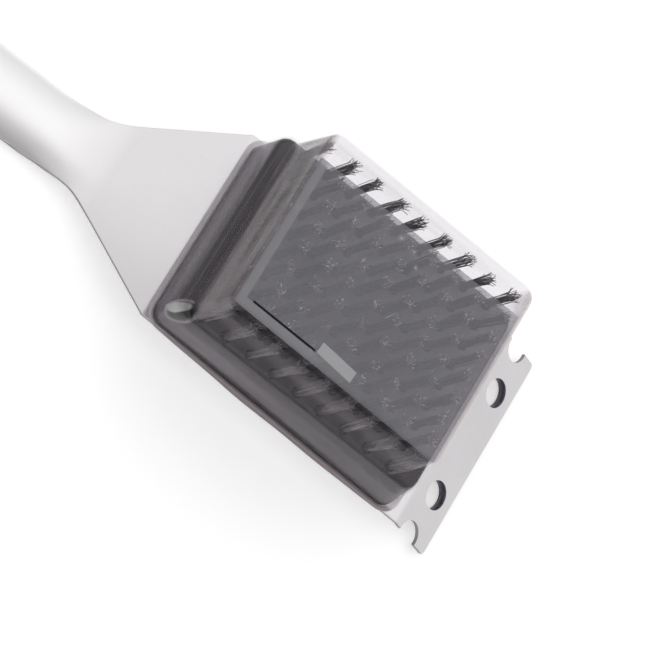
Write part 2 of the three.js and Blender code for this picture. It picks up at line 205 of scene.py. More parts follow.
def make_light():
    """A soft white surround, greyer low down and towards -Y, and two broad lamps overhead."""
    world = bpy.data.worlds.new("studio")
    world.use_nodes = True
    tree = world.node_tree
    background = tree.nodes["Background"]
    place = tree.nodes.new("ShaderNodeTexCoord")
    split = tree.nodes.new("ShaderNodeSeparateXYZ")
    tree.links.new(place.outputs["Generated"], split.inputs[0])

    def ramp(axis, low, high, to_low, to_high):
        made = tree.nodes.new("ShaderNodeMapRange")
        made.interpolation_type = "SMOOTHSTEP"
        tree.links.new(split.outputs[axis], made.inputs["Value"])
        for name, value in zip(("From Min", "From Max", "To Min", "To Max"),
                               (low, high, to_low, to_high)):
            made.inputs[name].default_value = value
        return made.outputs["Result"]

    both = tree.nodes.new("ShaderNodeMath")
    both.operation = "MULTIPLY"
    tree.links.new(ramp("Z", -0.3, 0.6, 0.62, 1.0), both.inputs[0])
    tree.links.new(ramp("Y", -0.9, 0.5, 0.62, 1.0), both.inputs[1])
    tree.links.new(both.outputs[0], background.inputs["Color"])
    background.inputs["Strength"].default_value = 0.92
    bpy.context.scene.world = world
    area_light("softbox_over", (0.2, 0.5, 1.6), (0, 0, 0), (1.6, 1.2), 1.6)
    area_light("softbox_corner", (-0.42, -0.5, 1.1), (-0.05, 0, 0), (0.9, 0.9), 0.6)


# ------------------------------------------------------------------ materials


class Material:
    """A material's node tree, built by short calls."""

    def __init__(self, name):
        self.material = bpy.data.materials.new(name)
        self.material.use_nodes = True
        self.tree = self.material.node_tree
        self.tree.nodes.clear()

    def node(self, kind, **settings):
        made = self.tree.nodes.new(kind)
        for key, value in settings.items():
            setattr(made, key, value)
        return made

    def join(self, source, target):
        self.tree.links.new(source, target)

    def put(self, socket, value):
        if hasattr(value, "links"):
            self.join(value, socket)
        else:
            socket.default_value = value

    def put_color(self, socket, value):
        self.put(socket, value if hasattr(value, "links") else (*value, 1.0))

    def place(self, scale=(1, 1, 1), rotation=(0, 0, 0)):
        """Object coordinates, scaled."""
        source = self.node("ShaderNodeTexCoord")
        mapping = self.node("ShaderNodeMapping")
        mapping.inputs["Scale"].default_value = scale
        mapping.inputs["Rotation"].default_value = rotation
        self.join(source.outputs["Object"], mapping.inputs["Vector"])
        return mapping.outputs[0]

    def axis(self, name):
        source = self.node("ShaderNodeTexCoord")
        split = self.node("ShaderNodeSeparateXYZ")
        self.join(source.outputs["Object"], split.inputs[0])
        return split.outputs[name]

    def normal_axis(self, name):
        source = self.node("ShaderNodeNewGeometry")
        split = self.node("ShaderNodeSeparateXYZ")
        self.join(source.outputs["True Normal"], split.inputs[0])
        return split.outputs[name]

    def noise(self, vector, scale, detail=2.0, roughness=0.5):
        made = self.node("ShaderNodeTexNoise")
        self.join(vector, made.inputs["Vector"])
        made.inputs["Scale"].default_value = scale
        made.inputs["Detail"].default_value = detail
        made.inputs["Roughness"].default_value = roughness
        return made.outputs["Fac"]

    def spread(self, value, low, high, to_low, to_high, smooth=False):
        made = self.node("ShaderNodeMapRange")
        made.interpolation_type = "SMOOTHSTEP" if smooth else "LINEAR"
        self.put(made.inputs["Value"], value)
        made.inputs["From Min"].default_value = low
        made.inputs["From Max"].default_value = high
        made.inputs["To Min"].default_value = to_low
        made.inputs["To Max"].default_value = to_high
        return made.outputs["Result"]

    def math(self, operation, a, b=0.0, c=0.0):
        made = self.node("ShaderNodeMath", operation=operation)
        self.put(made.inputs[0], a)
        self.put(made.inputs[1], b)
        if operation == "MULTIPLY_ADD":
            self.put(made.inputs[2], c)
        return made.outputs[0]

    def mix_color(self, share, a, b):
        made = self.node("ShaderNodeMix", data_type="RGBA")
        self.put(made.inputs[0], share)
        self.put_color(made.inputs[6], a)
        self.put_color(made.inputs[7], b)
        return made.outputs[2]

    def bump(self, height, strength, distance):
        made = self.node("ShaderNodeBump")
        made.inputs["Strength"].default_value = strength
        made.inputs["Distance"].default_value = distance
        self.join(height, made.inputs["Height"])
        return made.outputs[0]

    def principled(self, color, roughness, metallic=0.0, normal=None, glow=0.0, ior=1.5):
        made = self.node("ShaderNodeBsdfPrincipled")
        self.put_color(made.inputs["Base Color"], color)
        self.put(made.inputs["Roughness"], roughness)
        made.inputs["Metallic"].default_value = metallic
        made.inputs["IOR"].default_value = ior
        if glow:
            made.inputs["Emission Color"].default_value = (1.0, 1.0, 1.0, 1.0)
            made.inputs["Emission Strength"].default_value = glow
        if normal is not None:
            self.join(normal, made.inputs["Normal"])
        return made.outputs[0]

    def mix(self, share, a, b):
        made = self.node("ShaderNodeMixShader")
        self.put(made.inputs[0], share)
        self.join(a, made.inputs[1])
        self.join(b, made.inputs[2])
        return made.outputs[0]

    def transparent(self, color):
        made = self.node("ShaderNodeBsdfTransparent")
        self.put_color(made.inputs["Color"], color)
        return made.outputs[0]

    def glossy(self, color, roughness, normal):
        made = self.node("ShaderNodeBsdfAnisotropic")
        self.put_color(made.inputs["Color"], color)
        self.put(made.inputs["Roughness"], roughness)
        self.join(normal, made.inputs["Normal"])
        return made.outputs[0]

    def mirror_share(self, head_on, gain):
        """How much a clear surface mirrors, from head on to grazing, the same on both sides."""
        layer = self.node("ShaderNodeLayerWeight")
        layer.inputs["Blend"].default_value = 0.5
        steep = self.math("POWER", layer.outputs["Facing"], 4.0)
        return self.math("MULTIPLY_ADD", steep, gain, head_on)

    def output(self, surface):
        made = self.node("ShaderNodeOutputMaterial")
        self.join(surface, made.inputs["Surface"])


def satin_steel():
    """Fine-blasted stainless sheet: fine grain drawn out along X, faint smears, edges dark with
    painted shade.

    A painted highlight runs along the handle's crest; painted shade dulls its -Y flank and the
    neck's.
    """
    m = Material("satin_steel")
    grain = m.noise(m.place((160, 1400, 1400)), 1.0, 3.0, 0.65)
    speckle = m.noise(m.place((2600, 2600, 2600)), 1.0, 2.0, 0.6)
    smear = m.noise(m.place((14, 22, 22)), 1.0, 3.0, 0.55)
    both = m.math("MULTIPLY_ADD", speckle, 0.8, grain)
    normal = m.bump(both, 0.25, 0.00010)
    tone = m.math("MULTIPLY_ADD", speckle, 0.6, smear)
    color = m.mix_color(m.spread(tone, 0.5, 1.1, 0, 1), (0.705, 0.685, 0.70), (0.80, 0.785, 0.795))
    along, across = m.axis("X"), m.axis("Y")
    # Painted light: a highlight along the handle's crest, and shade on the -Y flanks of the handle
    # and the neck.
    handle = m.spread(along, -0.115, -0.085, 0.85, 0, smooth=True)
    neck = m.spread(along, -0.050, 0.0, 1, 0)
    crest = m.spread(across, -0.0105, -0.0030, 0, 1, smooth=True)
    neck_flank = m.spread(across, -0.0380, -0.0030, 0.8, 0, smooth=True)
    handle_flank = m.spread(across, -0.0125, -0.0060, 0.8, 0, smooth=True)
    for length, side, shade in (
        (handle, crest, (0.93, 0.92, 0.925)),
        (neck, neck_flank, (0.62, 0.595, 0.61)),
        (handle, handle_flank, (0.60, 0.575, 0.585)),
    ):
        color = m.mix_color(m.math("MULTIPLY", length, side), color, shade)
    # Painted shade darkens the steep faces: the sheet's edges and the walls of its holes.
    edge = m.spread(m.math("ABSOLUTE", m.normal_axis("Z")), 0.44, 0.56, 0.8, 0)
    color = m.mix_color(edge, color, (0.14, 0.12, 0.13))
    roughness = m.spread(m.math("MULTIPLY_ADD", grain, 0.5, smear), 0.3, 1.1, 0.33, 0.43)
    m.output(m.principled(color, roughness, 1.0, normal))
    return m.material


def hole_shade_steel():
    """The drawn wall of a punched hole: streaked, and dark with painted shade."""
    m = Material("hole_shade_steel")
    streak = m.noise(m.place((500, 500, 2400)), 1.0, 2.0, 0.6)
    color = m.mix_color(m.spread(streak, 0.3, 0.7, 0, 1), (0.05, 0.04, 0.06), (0.11, 0.09, 0.12))
    m.output(m.principled(color, 0.4, 0.6))
    return m.material


def black_plastic():
    """Glossy moulded block; a painted sheen lightens the middle of its top, between the tufts."""
    m = Material("black_plastic")
    flow = m.noise(m.place((60, 20, 120)), 1.0, 2.0)
    grain = m.noise(m.place((220, 220, 220)), 1.0, 2.0)
    color = m.mix_color(flow, (0.016, 0.013, 0.017), (0.030, 0.025, 0.031))
    # Painted sheen: the middle of the top, between the tufts, is made lighter.
    middle = m.math(
        "MULTIPLY",
        m.spread(m.axis("Y"), -0.026, -0.019, 0, 1, smooth=True),
        m.spread(m.axis("X"), -0.041, -0.034, 0, 1, smooth=True),
    )
    top = m.spread(m.axis("Z"), 0.0220, 0.0225, 0, 1)
    patchy = m.spread(grain, 0.3, 0.7, 0.7, 1.0)
    pale_patches = m.math("MULTIPLY", m.math("MULTIPLY", middle, top), patchy)
    color = m.mix_color(pale_patches, color, (0.26, 0.255, 0.27))
    normal = m.bump(flow, 0.08, 0.0006)
    m.output(m.principled(color, m.spread(flow, 0.3, 0.7, 0.14, 0.24), 0.0, normal))
    return m.material


def bristle_wire():
    """Drawn steel wire, dark between the wires, with painted glints that glow at the cut ends,
    under the film most.
    """
    m = Material("bristle_wire")
    streak = m.noise(m.place((1500, 1500, 260)), 1.0, 2.0, 0.6)
    color = m.mix_color(m.spread(streak, 0.3, 0.7, 0, 1), (0.10, 0.095, 0.10), (0.33, 0.31, 0.32))
    # Painted glints: the cut ends glow, the more so under the film.
    ends = m.noise(m.place((1300, 1300, 900)), 1.0, 1.0)
    height = m.spread(m.axis("Z"), 0.0430, 0.0438, 0, 1)
    bright = m.math("MULTIPLY", height, m.spread(ends, 0.50, 0.56, 0, 1))
    across = m.axis("Y")
    covered = m.math("MULTIPLY", m.spread(across, 0.0262, 0.0275, 1, 0),
                     m.spread(across, -0.0318, -0.0310, 0, 1))
    painted_glint = m.math("MULTIPLY", bright, m.math("MULTIPLY_ADD", covered, 0.46, 0.06))
    wire = m.principled(color, m.spread(streak, 0.3, 0.7, 0.45, 0.3), 0.9)
    m.output(m.mix(painted_glint, wire, m.principled((0.9, 0.9, 0.9), 0.3, 0.5, glow=0.9)))
    return m.material


def screw_steel():
    """Bright plated steel, a little worn."""
    m = Material("screw_steel")
    wear = m.noise(m.place((900, 900, 900)), 1.0, 3.0)
    color = m.mix_color(wear, (0.52, 0.52, 0.54), (0.68, 0.68, 0.70))
    m.output(m.principled(color, m.spread(wear, 0.3, 0.7, 0.18, 0.34), 1.0))
    return m.material


def clear_sheet():
    """Thin formed sheet: clear, with soft waves that bend its reflections, and a few scuffs."""
    m = Material("clear_sheet")
    wave = m.noise(m.place((30, 16, 70)), 1.0, 2.0, 0.5)
    scuff = m.noise(m.place((260, 90, 260), (0.3, 0.2, 0.6)), 1.0, 4.0, 0.7)
    normal = m.bump(wave, 0.35, 0.0016)
    roughness = m.spread(scuff, 0.45, 0.75, 0.05, 0.16)
    gloss = m.glossy((0.96, 0.93, 0.97), roughness, normal)
    clear = m.transparent((0.968, 0.962, 0.97))
    share = m.mirror_share(0.012, 0.11)
    m.output(m.mix(share, guard_haze_and_reflections(m, clear), gloss))
    return m.material


# Where the drawn sheet is milky: the heights in metres at which each band starts, is full, fades
# and ends, how milky it is, and whether it runs along the long sides too.
MILKY_BANDS = (
    (0.0028, 0.0100, 0.0130, 0.0195, 0.075, True),   # skirt
    (0.0230, 0.0250, 0.0280, 0.0330, 0.20, False),   # waist
    (0.0330, 0.0380, 0.0420, 0.0470, 0.06, True),    # upper wall
)


def guard_haze_and_reflections(m, clear):
    """Lays on the clear sheet what makes it show.

    Dust, milky bands drawn out in streaks, a rear wall grey with painted reflections, a pale front
    wall, the flange with painted shade on its -Y side, and a painted bright spot at one corner.
    """
    z = m.axis("Z")
    near = m.spread(m.axis("Y"), -0.0396, -0.0386, 1, 0)
    pale_patches = m.noise(m.place((900, 900, 900)), 1.0, 2.0, 0.6)
    haze_and_reflection = m.spread(pale_patches, 0.74, 0.80, 0, 0.3)
    streak = m.noise(m.place((160, 14, 110)), 1.0, 2.0, 0.55)
    long_streak = m.noise(m.place((14, 190, 110)), 1.0, 2.0, 0.55)
    side = m.spread(m.math("ABSOLUTE", m.axis("Y")), 0.0362, 0.0372, 0, 1)
    ends = m.math("SUBTRACT", 1.0, side)
    streak = m.math("ADD", m.math("MULTIPLY", streak, ends), m.math("MULTIPLY", long_streak, side))
    for low, full, end, high, share, all_round in MILKY_BANDS:
        rise = m.spread(z, low, full, 0, 1, smooth=True)
        fall = m.spread(z, end, high, 1, 0, smooth=True)
        band = m.math("MULTIPLY", rise, fall)
        if not all_round:
            band = m.math("MULTIPLY", band, ends)
        drawn = m.spread(streak, 0.36, 0.64, 0.25 * share, 1.25 * share)
        haze_and_reflection = m.math("MULTIPLY_ADD", band, drawn, haze_and_reflection)
    flange = m.spread(z, 0.0024, 0.0028, 1, 0)
    rim = m.math("MULTIPLY", flange, m.math("MULTIPLY_ADD", near, 0.6, 0.28))
    haze_and_reflection = m.math("ADD", haze_and_reflection, rim)
    tint = m.noise(m.place((30, 30, 60)), 1.0, 1.0)
    color = m.mix_color(m.spread(tint, 0.35, 0.65, 0, 1), (0.60, 0.47, 0.54), (0.56, 0.51, 0.58))
    # Painted reflections: the rear wall is laid on grey and streaked.
    wall = m.spread(z, 0.0240, 0.0262, 0, 1)
    behind = m.math("MULTIPLY", m.spread(m.axis("X"), -0.0470, -0.0440, 1, 0), wall)
    ahead = m.math("MULTIPLY", m.spread(m.axis("X"), 0.0425, 0.0455, 0, 1), wall)
    drawn = m.spread(streak, 0.36, 0.62, 0, 1)
    rear_reflection = m.mix_color(drawn, (0.075, 0.066, 0.070), (0.245, 0.222, 0.232))
    color = m.mix_color(behind, color, rear_reflection)
    color = m.mix_color(ahead, color, (0.84, 0.79, 0.77))
    for place, thick in (
        (behind, m.spread(streak, 0.36, 0.62, 0.36, 0.50)),
        (ahead, m.spread(z, 0.036, 0.050, 0.12, 0.42)),
    ):
        haze_and_reflection = m.math("MAXIMUM", haze_and_reflection, m.math("MULTIPLY", place, thick))
    color = m.mix_color(flange, color, (0.80, 0.76, 0.79))
    # Painted shade: the flange is darker on its -Y side, where it is also laid on thicker.
    color = m.mix_color(m.math("MULTIPLY", flange, near), color, (0.36, 0.31, 0.32))
    # Painted reflection at one corner: a bright spot with a dark edge.
    bright, dark = corner_glare(m)
    color = m.mix_color(dark, color, (0.008, 0.007, 0.009))
    glare = m.mix_color(streak, (0.20, 0.20, 0.20), (0.50, 0.49, 0.49))
    color = m.mix_color(bright, color, glare)
    spot = m.math("MAXIMUM", m.math("MULTIPLY", bright, 0.76), m.math("MULTIPLY", dark, 0.90))
    haze_and_reflection = m.math("MAXIMUM", haze_and_reflection, spot)
    return m.mix(haze_and_reflection, clear, m.principled(color, 0.35))


def corner_glare(m):
    """A painted reflection on the step's rear corner towards -Y: a bright spot and its dark edge.
    """
    ahead = (0.744, 0.484, 0.461)
    across = (0.594, -0.795, -0.125)
    middle = Vector(GLARE_PLACE) * MM

    def along(way, reach, shift=0.0):
        place = -middle.dot(Vector(way)) - shift * MM
        for name, share in zip("XYZ", way):
            place = m.math("MULTIPLY_ADD", m.axis(name), share, place)
        place = m.math("DIVIDE", place, reach * MM)
        return m.math("MULTIPLY", place, place)

    bend = m.noise(m.place((120, 120, 120)), 1.0, 1.0)
    inside = m.math("ADD", along(ahead, 4.7), along(across, 2.0))
    inside = m.math("MULTIPLY_ADD", bend, 1.3, inside)
    bright = m.spread(inside, 1.2, 1.75, 1, 0, smooth=True)
    outside = m.math("ADD", along(ahead, 6.4, 1.0), along(across, 4.4, 1.4))
    outside = m.math("MULTIPLY_ADD", bend, 0.6, outside)
    dark = m.spread(outside, 0.7, 1.35, 1, 0, smooth=True)
    corner = m.math("MULTIPLY", m.spread(m.axis("X"), -0.0445, -0.0425, 1, 0),
                    m.spread(m.axis("Y"), -0.028, -0.024, 1, 0))
    corner = m.math("MULTIPLY", corner, m.spread(m.axis("Z"), 0.030, 0.034, 1, 0))
    return m.math("MULTIPLY", bright, corner), m.math("MULTIPLY", dark, corner)


def film_mark(m, along, across, corners, soft=0.2 * MM):
    """1 inside a slanted box of the film's top, 0 outside, with soft edges. Corners are in mm."""
    (x0, y0), (x1, y1), width = corners
    start = Vector((x0, y0)) * MM
    end = Vector((x1, y1)) * MM
    way = (end - start).normalized()
    side = Vector((-way.y, way.x))
    half = width * MM / 2
    share = None
    for line, low, high in (
        (way, start.dot(way), end.dot(way)),
        (side, start.dot(side) - half, start.dot(side) + half),
    ):
        place = m.math("MULTIPLY_ADD", along, line.x, m.math("MULTIPLY", across, line.y))
        rise = m.spread(place, low - soft, low + soft, 0, 1)
        fall = m.spread(place, high - soft, high + soft, 1, 0)
        inside = m.math("MULTIPLY", rise, fall)
        share = inside if share is None else m.math("MULTIPLY", share, inside)
    return share


def grey_film():
    """Translucent grey film with scuffs and dust under it. It carries no print."""
    m = Material("grey_film")
    along = m.axis("X")
    across = m.axis("Y")
    cloud = m.noise(m.place((40, 40, 40)), 1.0, 4.0, 0.6)
    color = m.mix_color(cloud, (0.272, 0.264, 0.286), (0.314, 0.306, 0.328))
    rear_strip = film_mark(m, along, across, ((-60, 0), (-42.4, 0), 120), 0.4 * MM)
    near_strip = film_mark(m, along, across, ((-60, -33.6), (60, -35.6), 6.4), 0.4 * MM)
    near_strip = m.math("MULTIPLY", near_strip, m.spread(along, -0.014, 0.012, 1, 0.15))
    strip = m.math("MAXIMUM", rear_strip, near_strip)
    color = m.mix_color(m.math("MULTIPLY", strip, 0.9), color, (0.352, 0.346, 0.368))
    tab = film_mark(m, along, across, ((-11.7, -28.7), (4.1, -29.9), 4.6), 0.25 * MM)
    color = m.mix_color(m.math("MULTIPLY", tab, 0.9), color, (0.48, 0.475, 0.485))
    line = film_mark(m, along, across, ((-40.0, -30.6), (-12.4, -30.8), 0.85), 0.14 * MM)
    color = m.mix_color(line, color, (0.003, 0.003, 0.004))
    scratch = film_mark(m, along, across, ((2.8, -5.6), (5.2, -1.8), 0.3), 0.15 * MM)
    tail = film_mark(m, along, across, ((4.6, -5.4), (9.8, -8.0), 0.25), 0.15 * MM)
    scratch = m.math("MAXIMUM", scratch, m.math("MULTIPLY", tail, 0.3))
    for x, y in ((-7.0, 21.0), (-0.5, 20.0), (2.8, 15.7)):
        spot = film_mark(m, along, across, ((x - 0.8, y), (x + 0.8, y), 1.6), 0.5 * MM)
        scratch = m.math("MAXIMUM", scratch, spot)
    color = m.mix_color(m.math("MULTIPLY", scratch, 0.7), color, (0.56, 0.56, 0.56))
    pale_patches = m.noise(m.place((520, 520, 520)), 1.0, 1.0)
    specks = m.spread(pale_patches, 0.77, 0.80, 0, 1)
    color = m.mix_color(m.math("MULTIPLY", specks, 0.5), color, (0.5, 0.5, 0.52))
    body = m.spread(cloud, 0.3, 0.7, 0.34, 0.40)
    for mark, share in ((line, 1.0), (tab, 0.75), (scratch, 0.5), (strip, 0.52)):
        body = m.math("MAXIMUM", body, m.math("MULTIPLY", mark, share))
    body = m.math("MULTIPLY", body, m.spread(along, 0.0400, 0.0436, 1, 0.5))
    normal = m.bump(cloud, 0.12, 0.0006)
    surface = m.principled(color, 0.42, 0.0, normal, ior=1.18)
    m.output(m.mix(body, m.transparent((0.95, 0.95, 0.96)), surface))
    return m.material


# ------------------------------------------------------------------ mesh helpers


def mesh_object(name, vertices, faces, material):
    """A smooth-shaded object from points and faces."""
    mesh = bpy.data.meshes.new(name)
    mesh.from_pydata([tuple(v) for v in vertices], [], faces)
    mesh.validate()
    mesh.update()
    mesh.polygons.foreach_set("use_smooth", [True] * len(mesh.polygons))
    mesh.materials.append(material)
    return link(bpy.data.objects.new(name, mesh))


def lofted(count, rings):
    """The faces of a closed body through rings of points, with a cap at each end."""
    faces = []
    for r in range(rings - 1):
        for i in range(count):
            a = r * count + i
            b = r * count + (i + 1) % count
            faces.append((a, a + count, b + count, b))
    last = (rings - 1) * count
    faces.append(tuple(range(count)))
    faces.append(tuple(last + i for i in reversed(range(count))))
    return faces


def add_piece(obj, body, slot, *nodes):
    """Puts a piece on its body, in place of the CAD nodes named; its slot is not used."""
    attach(obj, body)
    if nodes:
        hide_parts(*nodes)


def keep_edges(obj, angle):
    """Keeps the edges sharper than an angle crisp on a smooth-shaded piece."""
    split = obj.modifiers.new("split", "EDGE_SPLIT")
    split.split_angle = math.radians(angle)


def dress(node, material, angle):
    """Gives a CAD node its material and shades its facets smooth, without moving a point."""
    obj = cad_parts[node]
    obj.data.materials.clear()
    obj.data.materials.append(material)
    weld = obj.modifiers.new("weld", "WELD")
    weld.merge_threshold = 0.01 * MM
    keep_edges(obj, angle)
    obj.data.polygons.foreach_set("use_smooth", [True] * len(obj.data.polygons))


# ------------------------------------------------------------------ frame sheet


def spine():
    """The sheet's upper line from the side: X, Z and the upward normal at each station, in mm."""
    corners = [
        ((HANDLE_END, HANDLE_LOW), 0.0),
        ((NECK_END, NECK_LOW), NECK_BEND),
        ((PLATE_REAR, SHEET), PLATE_BEND),
        ((PLATE_FRONT, SHEET), BLADE_BEND),
        (BLADE_TIP, 0.0),
    ]
    places = [Vector(at) for at, radius in corners]

    def upward(angle):
        return Vector((-math.sin(angle), math.cos(angle)))

    angles = [math.atan2(b.y - a.y, b.x - a.x) for a, b in zip(places, places[1:])]
    stations = [(places[0], upward(angles[0]))]
    for i in range(1, len(corners) - 1):
        radius = corners[i][1]
        before, after = angles[i - 1], angles[i]
        bend = before - after
        side = math.copysign(1.0, bend)
        reach = radius * math.tan(abs(bend) / 2)
        start = places[i] - Vector((math.cos(before), math.sin(before))) * reach
        centre = start - upward(before) * side * radius
        for step in range(BEND_STEPS + 1):
            up = upward(before - bend * step / BEND_STEPS)
            stations.append((centre + up * side * radius, up))
    stations.append((places[-1], upward(angles[-1])))
    return np.array([(at.x, at.y, up.x, up.y) for at, up in stations])


def half_width(x):
    """Half the sheet's width at a given X, with the handle's end and the blade's corners round."""
    if x > PLATE_FRONT:
        along = (x - PLATE_FRONT) / math.cos(BLADE_ANGLE)
        flare = min(1.0, along / BLADE_FLARE)
        corner = max(0.0, along - BLADE_LENGTH + BLADE_CORNER)
        cut = BLADE_CORNER - math.sqrt(max(0.0, BLADE_CORNER ** 2 - corner ** 2))
        plate = PLATE_HALF + PLATE_SPREAD
        return plate + (BLADE_HALF - plate) * flare - cut
    if x > PLATE_REAR:
        return PLATE_HALF + PLATE_SPREAD * (x - PLATE_REAR) / (PLATE_FRONT - PLATE_REAR)
    neck = PLATE_HALF - (PLATE_REAR - x) * NECK_TAPER
    along = min(1.0, max(0.0, (NECK_END - x) / (NECK_END - HANDLE_END)))
    handle = HANDLE_HALF + HANDLE_SWELL * math.sin(math.pi * along ** SWELL_SKEW) ** 2
    half = handle + NECK_BLEND * math.log1p(math.exp((neck - handle) / NECK_BLEND))
    away = HANDLE_END_RADIUS - (x - (HANDLE_END + HANDLE_TRIM))
    if away > 0:
        half = min(half, math.sqrt(max(0.0, HANDLE_END_RADIUS ** 2 - away ** 2)))
    return half


def arch_drop(x, y):
    """How far the sheet has dropped from its crest, at distances from the middle."""
    share = min(1.0, max(0.0, (NECK_END - x) / CROWN_RUN))
    rise = HANDLE_CROWN * share * share * (3 - 2 * share)
    out = np.minimum(1.0, np.abs(y) / HANDLE_HALF)
    round_share = 1 - np.sqrt(1 - CROWN_STEEPNESS * out * out)
    return rise * round_share / (1 - math.sqrt(1 - CROWN_STEEPNESS))


def sheet_section(half):
    """The sheet's section, as distances from the middle and depths below the upper face."""
    edge = min(EDGE_ROUND, half / 3)
    flat = (half - edge) * np.sin(np.linspace(-1, 1, 49) * math.pi / 2)
    turn = np.radians([22.5, 45, 67.5, 90])
    right = half - edge + edge * np.sin(turn)
    deep = edge * (1 - np.cos(turn))
    y = np.concatenate([flat, right, right[::-1], flat[::-1], -right, -right[::-1]])
    depth = np.concatenate([
        np.zeros(len(flat)), deep, SHEET - deep[::-1],
        np.full(len(flat), SHEET), SHEET - deep, deep[::-1],
    ])
    return y, depth


def stations_along():
    """Where the sheet is cut into strips along X: finer round each bend and at both ends."""
    rounding = np.linspace(0.08, 1, 14) ** 2 * HANDLE_HALF
    reach = 2
    blade_end = BLADE_TIP[0]
    blade_corner = blade_end - 1.3
    parts = [HANDLE_END + HANDLE_TRIM + rounding]
    for start, end, count in (
        (HANDLE_END + HANDLE_HALF, NECK_END - CROWN_RUN, 80),
        (NECK_END - CROWN_RUN, PLATE_REAR - reach, 48),
        (PLATE_REAR - reach, PLATE_REAR + reach, 12),
        (PLATE_REAR + reach, PLATE_FRONT - reach, 30),
        (PLATE_FRONT - reach, PLATE_FRONT + reach, 12),
        (PLATE_FRONT + reach, blade_corner, 14),
        (blade_corner, blade_end, 7),
    ):
        parts.append(np.linspace(start, end, count))
    places = np.unique(np.round(np.concatenate(parts), 3))
    return places[np.concatenate([[True], np.diff(places) > 0.02])]


def cylinder(place, turn, radius, half_length):
    """A cutter turned about Y, its sizes in mm."""
    mesh = bpy.data.meshes.new("cutter")
    work = bmesh.new()
    bmesh.ops.create_cone(
        work, cap_ends=True, segments=72,
        radius1=radius * MM, radius2=radius * MM, depth=2 * half_length * MM,
    )
    work.to_mesh(mesh)
    work.free()
    cutter = link(bpy.data.objects.new("cutter", mesh))
    cutter.matrix_world = Matrix.Translation(Vector(place) * MM) @ Matrix.Rotation(turn, 4, "Y")
    return cutter


def cut_out(obj, cutters):
    """Takes the cutters out of a piece's mesh, and removes them."""
    for cutter in cutters:
        cut = obj.modifiers.new("cut", "BOOLEAN")
        cut.operation = "DIFFERENCE"
        cut.solver = "EXACT"
        cut.object = cutter
    depsgraph = bpy.context.evaluated_depsgraph_get()
    done = bpy.data.meshes.new_from_object(obj.evaluated_get(depsgraph))
    obj.modifiers.clear()
    obj.data = done
    for cutter in cutters:
        bpy.data.objects.remove(cutter)


def frame_sheet(material):
    """Handle, neck, head plate and scraper as one bent sheet with rounded edges."""
    line = spine()
    nudge = 0.03                  # to either side, for the arch's slope
    vertices = []
    for x in stations_along():
        at_x, at_z, up_x, up_z = (np.interp(x, line[:, 0], line[:, i]) for i in range(4))
        norm = math.hypot(up_x, up_z)
        up_x, up_z = up_x / norm, up_z / norm
        y, depth = sheet_section(half_width(x))
        drop = arch_drop(x, y)
        slope = (arch_drop(x, y + nudge) - arch_drop(x, y - nudge)) / (2 * nudge)
        lean = np.hypot(1, slope)
        below = drop + depth / lean
        vertices.append(np.stack([
            at_x - up_x * below,
            y - depth * slope / lean,
            at_z - up_z * below,
        ], 1))
    faces = lofted(len(vertices[0]), len(vertices))
    piece = mesh_object("steel_sheet", np.concatenate(vertices) * MM, faces, material)
    hang_hole = (HANG_HOLE_X, 0, HANDLE_LOW)
    cutters = [cylinder(hang_hole, 0.0, HANG_HOLE_RADIUS, half_length=20)]
    for along, out, radius in BLADE_CUTS:
        x = PLATE_FRONT + along * math.cos(BLADE_ANGLE)
        z = SHEET - along * math.sin(BLADE_ANGLE)
        for side in (-1, 1):
            cutters.append(cylinder((x, side * out, z), BLADE_ANGLE, radius, half_length=6))
    cut_out(piece, cutters)
    keep_edges(piece, 35)
    add_piece(piece, "root", "steel_sheet", "brush_frame")


# The lip's section, in mm: distance outwards from the hole, and height along its axis.
COLLAR_SECTION = (
    (0.0, -0.25),
    (0.0, -COLLAR),
    (0.2, -COLLAR - 0.12),
    (0.45, -COLLAR),
    (0.5, -1.7),
    (0.5, -1.3),
    (0.25, -0.25),
)


def hole_collar(side, material):
    """The lip drawn down round one of the scraper's round holes."""
    along, out, radius = BLADE_CUTS[0]
    turn = Matrix.Rotation(BLADE_ANGLE, 4, "Y")
    middle = Vector((
        PLATE_FRONT + along * math.cos(BLADE_ANGLE),
        side * out,
        SHEET - along * math.sin(BLADE_ANGLE),
    ))
    inside = 0.05
    vertices = []
    for way, height in COLLAR_SECTION:
        reach = radius - inside + way
        for i in range(HOLE_SIDES):
            angle = 2 * math.pi * i / HOLE_SIDES
            point = Vector((math.cos(angle) * reach, math.sin(angle) * reach, height))
            vertices.append((middle + turn @ point) * MM)
    faces = []
    rings = len(COLLAR_SECTION)
    for r in range(rings):
        a = r * HOLE_SIDES
        b = (r + 1) % rings * HOLE_SIDES
        for i in range(HOLE_SIDES):
            after = (i + 1) % HOLE_SIDES
            faces.append((a + i, a + after, b + after, b + i))
    name = "hole_collar_near" if side < 0 else "hole_collar_far"
    add_piece(mesh_object(name, vertices, faces, material), "root", "steel_sheet")


# ------------------------------------------------------------------ tufts


def wire_path(random, root, tip):
    """The points of one wire: straight from its hole, with a soft bow and an end that strays."""
    share = np.linspace(0, 1, WIRE_STEPS) ** 0.8
    base = root[None] + (tip - root)[None] * share[:, None]
    bow = random.normal(0, WIRE_BOW, 2)
    base[:, :2] += bow[None] * np.sin(math.pi * share)[:, None]
    length = tip[2] - root[2]
    fray = np.clip((share * length - (length - FRAY_LENGTH)) / FRAY_LENGTH, 0, 1) ** 2
    base[:, :2] += random.normal(0, FRAY_SPREAD / 2, 2)[None] * fray[:, None]
    return base


